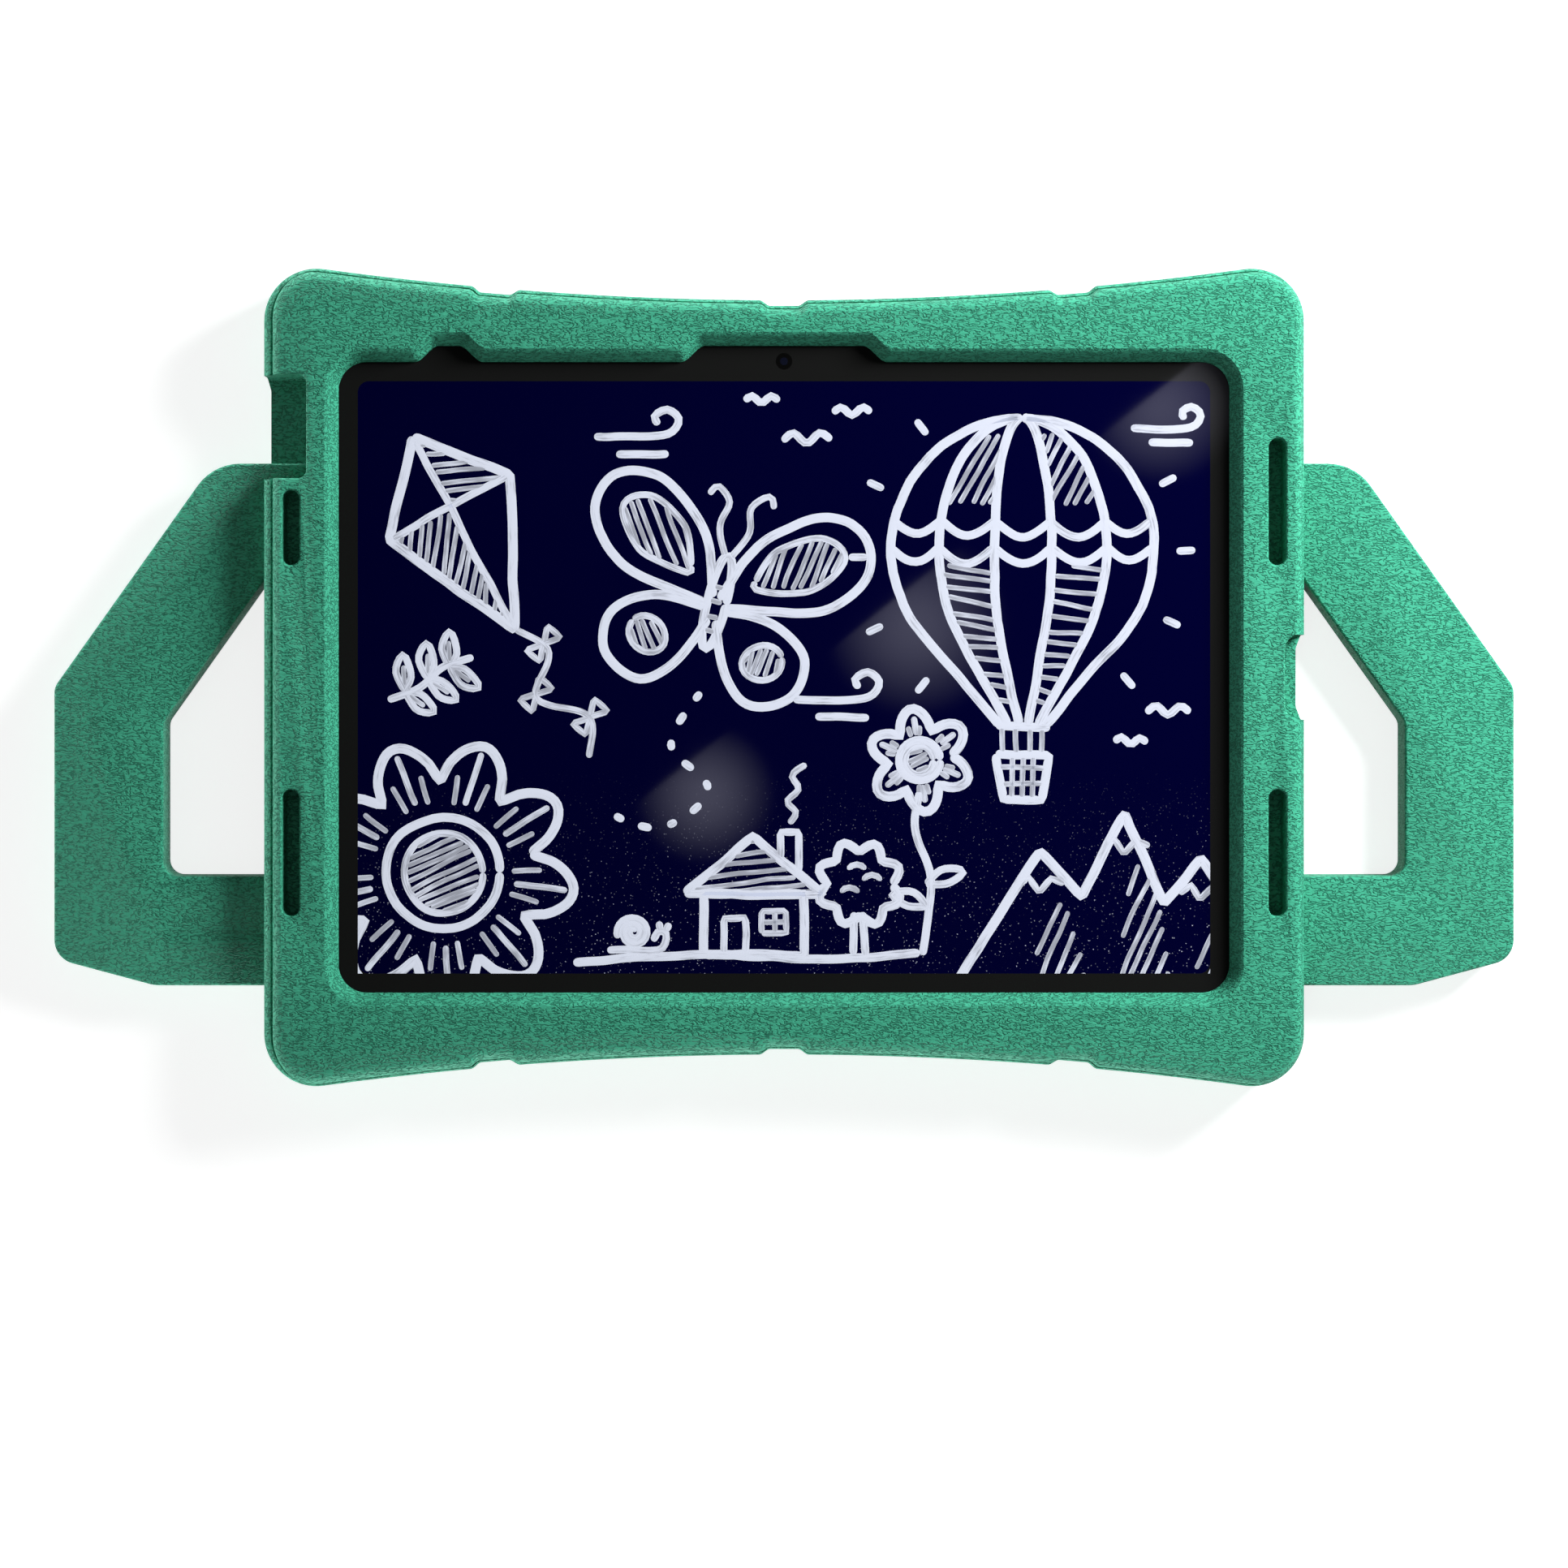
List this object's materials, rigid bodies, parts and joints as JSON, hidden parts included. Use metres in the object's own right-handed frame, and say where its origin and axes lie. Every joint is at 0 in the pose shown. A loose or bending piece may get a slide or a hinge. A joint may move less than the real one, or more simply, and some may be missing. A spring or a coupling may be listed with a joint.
{
  "type": "kids tablet case",
  "caption": "Moulded foam tablet case for children with two flat side arms and hand holes, holding a tablet face up.",
  "frame": {"origin": "under the middle of the case, on the surface that its back lies on", "axes": "+X to the right and +Y up as the screen is seen in landscape, +Z out of the screen"},
  "size_m": [0.3904, 0.2178, 0.022],
  "materials": {
    "foam": "matte closed-cell foam with a fine leather grain",
    "housing_metal": "fine blasted and anodised",
    "front_glass": "polished, black border printed behind",
    "display": "dark navy picture",
    "camera_black": "satin black",
    "battery_wrap": "matte film",
    "circuit_board": "satin lacquer",
    "inner_plastic": "matte",
    "port_metal": "plain"
  },
  "bodies": {
    "case_and_tablet": {"case": "foam", "tablet_housing": "housing_metal", "cover_glass": "front_glass", "display_panel": "display", "front_camera": "camera_black", "rear_camera_module": "camera_black", "rear_camera_lens": "front_glass", "battery_cell_left": "battery_wrap", "battery_cell_right": "battery_wrap", "logic_board": "circuit_board", "port_board": "circuit_board", "speaker_left_top": "inner_plastic", "speaker_left_bottom": "inner_plastic", "speaker_right_top": "inner_plastic", "speaker_right_bottom": "inner_plastic", "usb_port": "port_metal", "usb_port_tongue": "inner_plastic", "power_switch": "inner_plastic", "volume_switch": "inner_plastic"},
    "power_key": {"power_button": "housing_metal"},
    "volume_up_key": {"volume_up_button": "housing_metal"},
    "volume_down_key": {"volume_down_button": "housing_metal"}
  },
  "joints": [
    {"name": "power_press", "type": "slide", "parent": "case_and_tablet", "child": "power_key", "axis": [1, 0, 0], "range_m": [0, 0.00025], "stiffness_N_per_m": 600, "springref_m": -0.0005},
    {"name": "volume_up_press", "type": "slide", "parent": "case_and_tablet", "child": "volume_up_key", "axis": [0, -1, 0], "range_m": [0, 0.00025], "stiffness_N_per_m": 600, "springref_m": -0.0005},
    {"name": "volume_down_press", "type": "slide", "parent": "case_and_tablet", "child": "volume_down_key", "axis": [0, -1, 0], "range_m": [0, 0.00025], "stiffness_N_per_m": 600, "springref_m": -0.0005}
  ]
}
